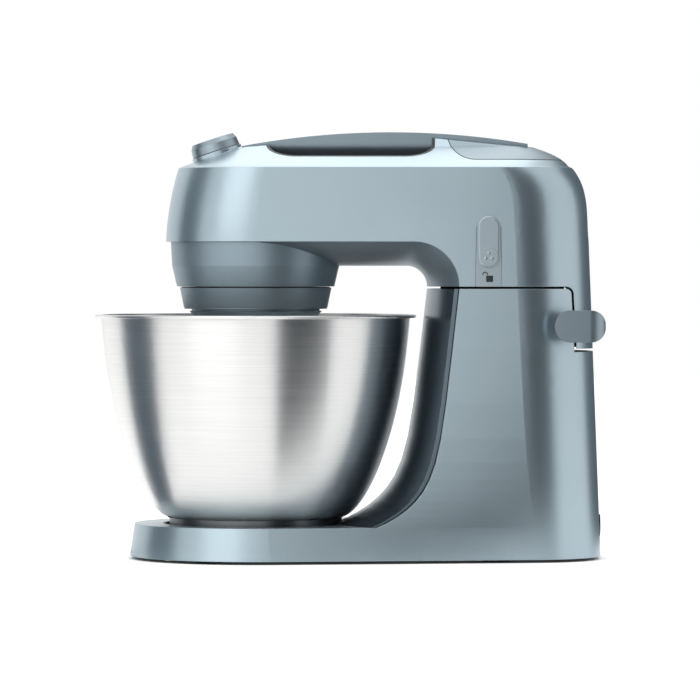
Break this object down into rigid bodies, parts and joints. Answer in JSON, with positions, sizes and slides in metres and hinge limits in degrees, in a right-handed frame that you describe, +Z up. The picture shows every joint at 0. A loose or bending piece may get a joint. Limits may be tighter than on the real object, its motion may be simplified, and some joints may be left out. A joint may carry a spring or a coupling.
{
  "type": "stand mixer",
  "caption": "Compact tilt-head stand mixer: rounded painted stand and head, carry handle, speed dial, planetary tool drive, and a steel bowl in a bayonet seat.",
  "frame": {"origin": "on the table, under the middle of the machine's bounding box, head down", "axes": "+Z up, the nose points to -X, the lock slider is on the -Y side"},
  "size_m": [0.3701, 0.2348, 0.3106],
  "materials": {
    "paint": "satin metallic paint on a moulded shell",
    "dark_paint": "gloss paint on the inner panels",
    "dark_plastic": "fine moulded texture",
    "slider_plastic": "satin moulded",
    "hub_metal": "satin die casting",
    "dial_plastic": "satin metallic",
    "bowl_steel": "brushed",
    "shaft_steel": "ground",
    "gear_steel": "cut teeth",
    "cast_metal": "as cast",
    "core_iron": "stacked sheet",
    "copper": "enamelled wire",
    "bush_bronze": "sintered",
    "carbon": "pressed carbon",
    "board": "glass-filled laminate",
    "rubber": "moulded"
  },
  "bodies": {
    "stand": {"stand_shell": "paint", "stand_belly": "dark_paint", "column_cap": "dark_plastic", "rest_pads": "rubber", "base_plate": "dark_plastic", "foot_pads": "rubber", "base_screws": "shaft_steel", "cord_inlet": "rubber", "bowl_seat": "dark_plastic", "hinge_bracket": "cast_metal", "hinge_pin": "shaft_steel"},
    "head": {"head_shell": "paint", "head_belly": "dark_paint", "head_floor": "dark_plastic", "handle_bar": "paint", "handle_pan": "dark_plastic", "rear_cover": "paint", "lock_panel": "slider_plastic", "chassis": "cast_metal", "hub_bush": "bush_bronze", "jack_bush": "bush_bronze", "ring_gear": "gear_steel", "motor_frame": "cast_metal", "motor_bearings": "shaft_steel", "stator": "core_iron", "field_windings": "copper", "carbon_brushes": "carbon", "motor_screws": "shaft_steel", "drive_belt": "rubber", "control_board": "board", "speed_switch": "dark_plastic"},
    "hub": {"hub_shaft": "shaft_steel", "hub_gear": "gear_steel", "planet_hub": "hub_metal", "hub_skirt": "hub_metal"},
    "tool": {"tool_shaft": "shaft_steel", "planet_pinion": "gear_steel", "cross_pin": "shaft_steel"},
    "jack": {"jack_shaft": "shaft_steel", "jack_pulley": "gear_steel", "jack_pinion": "gear_steel"},
    "motor": {"motor_shaft": "shaft_steel", "motor_pulley": "gear_steel", "rotor_core": "core_iron", "commutator": "copper", "cooling_fan": "dark_plastic"},
    "dial": {"speed_dial": "dial_plastic", "dial_shaft": "shaft_steel", "dial_cap": "dial_plastic"},
    "slider": {"lock_slider": "slider_plastic", "lock_bolt": "shaft_steel"},
    "lever": {"release_lever": "paint"},
    "bowl": {"bowl": "bowl_steel", "bowl_foot": "bowl_steel"}
  },
  "joints": [
    {"name": "head_tilt", "type": "hinge", "parent": "stand", "child": "head", "pos_m": [0.166, 0, 0.17], "axis": [0, 1, 0], "range_deg": [0, 50]},
    {"name": "hub_spin", "type": "hinge", "parent": "head", "child": "hub", "pos_m": [-0.0694, 0, 0.19], "axis": [0, 0, 1], "continuous": true},
    {"name": "tool_spin", "type": "hinge", "parent": "hub", "child": "tool", "pos_m": [-0.0964, 0, 0.18], "axis": [0, 0, 1], "continuous": true},
    {"name": "jack_spin", "type": "hinge", "parent": "head", "child": "jack", "pos_m": [-0.01315, 0, 0.23], "axis": [0, 0, 1], "continuous": true},
    {"name": "motor_spin", "type": "hinge", "parent": "head", "child": "motor", "pos_m": [0.1095, 0, 0.23], "axis": [0, 0, 1], "continuous": true},
    {"name": "dial_turn", "type": "hinge", "parent": "head", "child": "dial", "pos_m": [-0.0978, 0, 0.2962], "axis": [-0.309, 0, 0.9511], "range_deg": [-45, 225]},
    {"name": "lock_slide", "type": "slide", "parent": "head", "child": "slider", "axis": [0, 0, -1], "range_m": [0, 0.01]},
    {"name": "lever_press", "type": "hinge", "parent": "head", "child": "lever", "pos_m": [0.166, 0, 0.17], "axis": [0, 1, 0], "range_deg": [0, 8], "stiffness_Nm_per_rad": 0.6, "springref_deg": -2.86},
    {"name": "bowl_twist", "type": "hinge", "parent": "stand", "child": "bowl", "pos_m": [-0.0694, 0, 0], "axis": [0, 0, 1], "range_deg": [0, 45]}
  ],
  "couplings": [
    {"joint": "tool_spin", "follows": "hub_spin", "ratio": -3},
    {"joint": "jack_spin", "follows": "hub_spin", "ratio": -4},
    {"joint": "motor_spin", "follows": "hub_spin", "ratio": -12}
  ]
}
